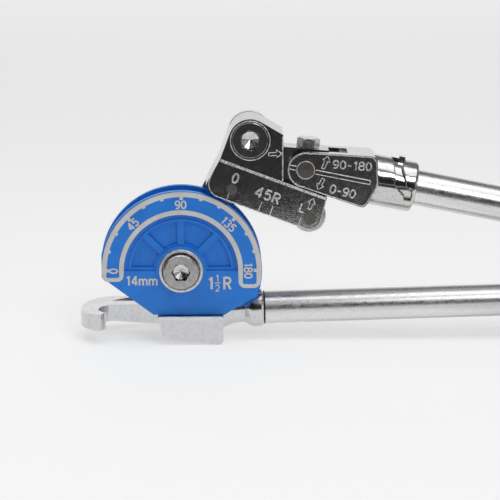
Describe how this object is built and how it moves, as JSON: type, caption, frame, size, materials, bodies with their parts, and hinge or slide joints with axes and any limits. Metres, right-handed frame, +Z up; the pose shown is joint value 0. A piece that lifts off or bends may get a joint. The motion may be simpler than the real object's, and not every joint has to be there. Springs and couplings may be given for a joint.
{
  "type": "tube bender",
  "caption": "Hand tube bender with a grooved half-round die, swinging roller shoe, folding handle with a lock, and a hook latch.",
  "frame": {"origin": "on the front face of the vise lug, near its middle", "axes": "+X along the handles to their ends, +Y to the back of the tool, +Z up, with the handles closed"},
  "size_m": [0.3889, 0.0495, 0.1294],
  "materials": {
    "blue_paint": "satin blue enamel",
    "chrome": "satin chrome plate over a fine cast texture",
    "satin_steel": "turned, satin",
    "steel": "dull ground pin ends",
    "bronze": "plain bearing bronze",
    "black_rubber": "plain",
    "vinyl": "dipped vinyl"
  },
  "bodies": {
    "form_side": {"bend_die": "blue_paint", "pivot_bush": "satin_steel", "pivot_bolt": "steel", "pivot_washer": "satin_steel", "pivot_nut": "satin_steel", "form_handle_head": "chrome", "die_dowel_left": "steel", "die_dowel_right": "steel", "latch_pin": "steel", "form_handle_tube": "chrome", "form_handle_seal": "black_rubber", "form_handle_grip": "vinyl"},
    "latch_body": {"latch": "chrome"},
    "link_body": {"link_plate": "chrome", "link_bush": "bronze", "shoe_pivot_bolt": "chrome", "shoe_pivot_nut": "satin_steel"},
    "shoe_body": {"shoe": "chrome", "shoe_bush": "bronze", "lead_roller_pin": "steel", "support_roller_pin": "steel", "clevis_pin": "steel", "keeper_screw": "chrome"},
    "lead_roller_body": {"lead_roller": "satin_steel"},
    "support_roller_body": {"support_roller": "satin_steel"},
    "handle_body": {"clevis": "chrome", "lock_spring": "steel", "spring_stop": "steel", "shoe_handle_tube": "chrome", "shoe_handle_grip": "vinyl"},
    "lock_body": {"lock_plunger": "bronze", "lock_pin": "steel"}
  },
  "joints": [
    {"name": "link_swing", "type": "hinge", "parent": "form_side", "child": "link_body", "pos_m": [-0.006, 0.017, 0.033], "axis": [0, -1, 0], "range_deg": [0, 118]},
    {"name": "shoe_pivot", "type": "hinge", "parent": "link_body", "child": "shoe_body", "pos_m": [0.03327, 0.017, 0.10827], "axis": [0, -1, 0], "range_deg": [0, 90]},
    {"name": "handle_swing", "type": "hinge", "parent": "shoe_body", "child": "handle_body", "pos_m": [0.06451, 0.017, 0.09149], "axis": [0, -1, 0], "range_deg": [0, 90]},
    {"name": "lock_slide", "type": "slide", "parent": "handle_body", "child": "lock_body", "axis": [-0.9805, 0, 0.1966], "range_m": [0, 0.0039]},
    {"name": "latch_swing", "type": "hinge", "parent": "form_side", "child": "latch_body", "pos_m": [-0.01, 0.017, 0.0027], "axis": [0, -1, 0], "range_deg": [0, 95]},
    {"name": "lead_roller_spin", "type": "hinge", "parent": "shoe_body", "child": "lead_roller_body", "pos_m": [0.02287, 0.017, 0.08045], "axis": [0, -1, 0], "continuous": true},
    {"name": "support_roller_spin", "type": "hinge", "parent": "shoe_body", "child": "support_roller_body", "pos_m": [0.06689, 0.017, 0.06399], "axis": [0, -1, 0], "continuous": true}
  ]
}
